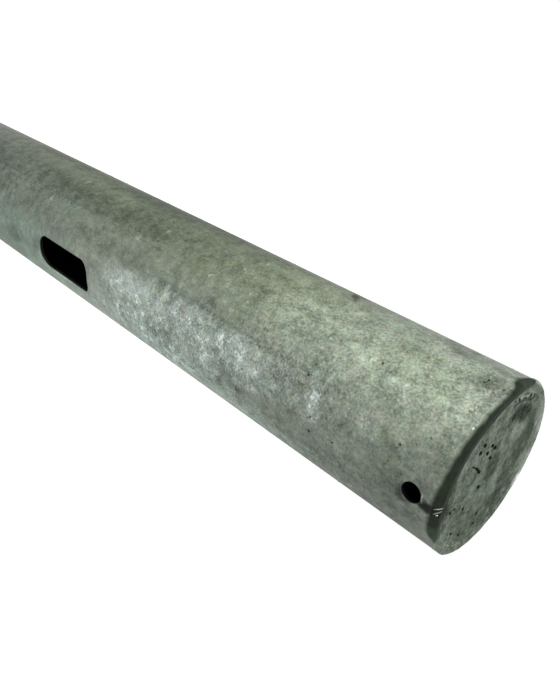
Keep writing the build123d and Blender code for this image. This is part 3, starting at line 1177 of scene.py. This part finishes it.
def grain_tree():
    """Strews flattened balls over a tube, in clusters, between two heights."""
    tree, given = new_tree("dross_grains", {
        "Radius": TUBE_RADIUS * MM, "Length": 2080 * MM, "Grains per square metre": 26000.0,
        "Smallest": 0.3 * MM, "Largest": 0.75 * MM, "Seed": 7,
    })
    sizes = {"Vertices": 180, "Side Segments": 1, "Radius": given["Radius"], "Depth": given["Length"]}
    field = add(tree, "GeometryNodeMeshCylinder", sizes, fill_type="NONE")
    half = add(tree, "Math", (given["Length"], 0.5, LOWEST_GRAIN), operation="MULTIPLY_ADD")
    lift = add(tree, "CombineXYZ", {"Z": half})
    raised = add(tree, "GeometryNodeTransform", {"Geometry": field, "Translation": lift})
    strewn = add(
        tree, "GeometryNodeDistributePointsOnFaces",
        {"Mesh": raised, "Density": given["Grains per square metre"], "Seed": given["Seed"]},
    )
    position = add(tree, "GeometryNodeInputPosition")
    cluster = add(tree, "TexNoise", {"Vector": position, "Scale": 28.0, "Detail": 3.0})
    bad = add(tree, "FunctionNodeCompare", {"A": cluster, "B": CLUSTER_LEVEL}, operation="LESS_THAN")
    for turn, height, half_width, half_length in NO_GRAINS:
        middle = on_post(turn, TUBE_RADIUS, height)
        off = add(tree, "VectorMath", (position, middle), operation="SUBTRACT")
        size = (1000 / half_width, 1000 / half_width, 1000 / half_length)
        near = add(tree, "VectorMath", (off, size), operation="MULTIPLY")
        apart = add(tree, "VectorMath", (near,), "Value", operation="LENGTH")
        inside = add(tree, "FunctionNodeCompare", {"A": apart, "B": NO_GRAINS_MARGIN}, operation="LESS_THAN")
        bad = add(tree, "FunctionNodeBooleanMath", (bad, inside), operation="OR")
    kept = add(tree, "GeometryNodeDeleteGeometry", {"Geometry": strewn, "Selection": bad})
    level = add(tree, "VectorMath", (position, (1, 1, 0)), operation="MULTIPLY")
    facing = add(tree, "FunctionNodeAlignRotationToVector", {"Vector": level}, axis="Z")
    ball = add(tree, "GeometryNodeMeshIcoSphere", {"Radius": 1.0, "Subdivisions": 1})
    low_dome = add(tree, "GeometryNodeTransform", {"Geometry": ball, "Scale": (1.0, 1.0, 0.45)})
    limits = {"Min": 0.0, "Max": 1.0, "Seed": given["Seed"]}
    size = add(tree, "FunctionNodeRandomValue", limits, 1, data_type="FLOAT")
    small = add(tree, "Math", (size, 3.0), operation="POWER")
    scale = add(tree, "MapRange", (small, 0.0, 1.0, given["Smallest"], given["Largest"]))
    inputs = {"Points": kept, "Instance": low_dome, "Rotation": facing, "Scale": scale}
    end_tree(tree, add(tree, "GeometryNodeInstanceOnPoints", inputs), tube_zinc)
    return tree


grains = grown("dross_grains", grain_tree(), {})
finish_mesh(grains, 180)

# %% [markdown]
# Every piece rides on the part's one body and hides the CAD node that it replaces, where it replaces one.
# The name of the record's finish that it wears is printed beside it.

# %% Pieces on the frame
for piece, node, slot in (
    (tube, "post_tube", "galvanised_steel"), (plate, "top_cap", "galvanised_plate"),
    (bead, "cap_weld", "weld_zinc"), (ridges, None, "weld_zinc"), (grains, None, "galvanised_steel"),
):
    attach(piece, "root")
    if node:
        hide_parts(node)
    print(piece.name, "rides on root and wears", slot)

# %% [markdown]
# The photograph was cut out on white. A white floor and a white surround give that, and a floor that is lit
# keeps the post's shadow. To the camera and in reflections the world is full white, while as light it is a
# little under 1, so that with the one soft lamp a colour renders about as it is written.

# %% Floor and surround
FLOOR_GLOW = 0.35
WORLD_LIGHT = 0.72


def studio_floor():
    """A matt white floor, with a little light of its own for the camera alone."""
    material, tree, shader = new_finish("white_floor")
    shader.inputs["Base Color"].default_value = linear("F4F4F4")
    shader.inputs["Roughness"].default_value = 1.0
    shader.inputs["Emission Color"].default_value = linear("FFFFFF")
    seen = add(tree, "Math", (add(tree, "LightPath", out="Is Camera Ray"), FLOOR_GLOW), operation="MULTIPLY")
    tree.links.new(seen, shader.inputs["Emission Strength"])
    return material


half_floor = 60.0
floor_corners = [(x * half_floor, y * half_floor, 0) for x, y in ((-1, -1), (1, -1), (1, 1), (-1, 1))]
floor = plain_mesh("floor", floor_corners, [(0, 1, 2, 3)], studio_floor())

world = bpy.data.worlds.new("white_surround")
scene.world = world
world.use_nodes = True
surround = world.node_tree
background = surround.nodes["Background"]
rays = add(surround, "LightPath").node.outputs
shown = add(surround, "Math", (rays["Is Camera Ray"], rays["Is Glossy Ray"]), operation="MAXIMUM")
shown = add(surround, "Math", (shown, rays["Is Transmission Ray"]), operation="MAXIMUM")
strength = add(surround, "MapRange", (shown, 0.0, 1.0, WORLD_LIGHT, 1.0))
background.inputs["Color"].default_value = (1, 1, 1, 1)
surround.links.new(strength, background.inputs["Strength"])
print("floor", half_floor * 2, "m across")

# %% [markdown]
# One large soft lamp stands above the capped end, on the side that the photograph shows lit. The camera's
# place, direction and lens are those that were fitted to the photograph's outlines.

# %% Lamp and camera
lamp_data = bpy.data.lights.new("soft_lamp", "AREA")
lamp_data.shape = "DISK"
lamp_data.size = 1.6
lamp_data.energy = 42
lamp = placed("soft_lamp", lamp_data)
lamp.location = (-1.35, -0.55, 3.35)
aim = Vector((0, 0, 1.95)) - Vector(lamp.location)
lamp.rotation_euler = aim.to_track_quat("-Z", "Y").to_euler()

lens = bpy.data.cameras.new("camera")
lens.lens = 33.573
lens.sensor_width = 36.0
lens.clip_start = 0.01
lens.clip_end = 300.0
camera = placed("camera", lens)
right = Vector((-0.058675, 0.716114, 0.695513))
up = Vector((-0.843954, 0.336542, -0.417708))
turned = Matrix((right, up, right.cross(up))).transposed().to_4x4()
turned.translation = Vector((-0.2525, -0.29563, 2.2059))
camera.matrix_world = turned
scene.camera = camera
scene.view_settings.view_transform = "Standard"
print("camera looks along", [round(v, 3) for v in -right.cross(up)])
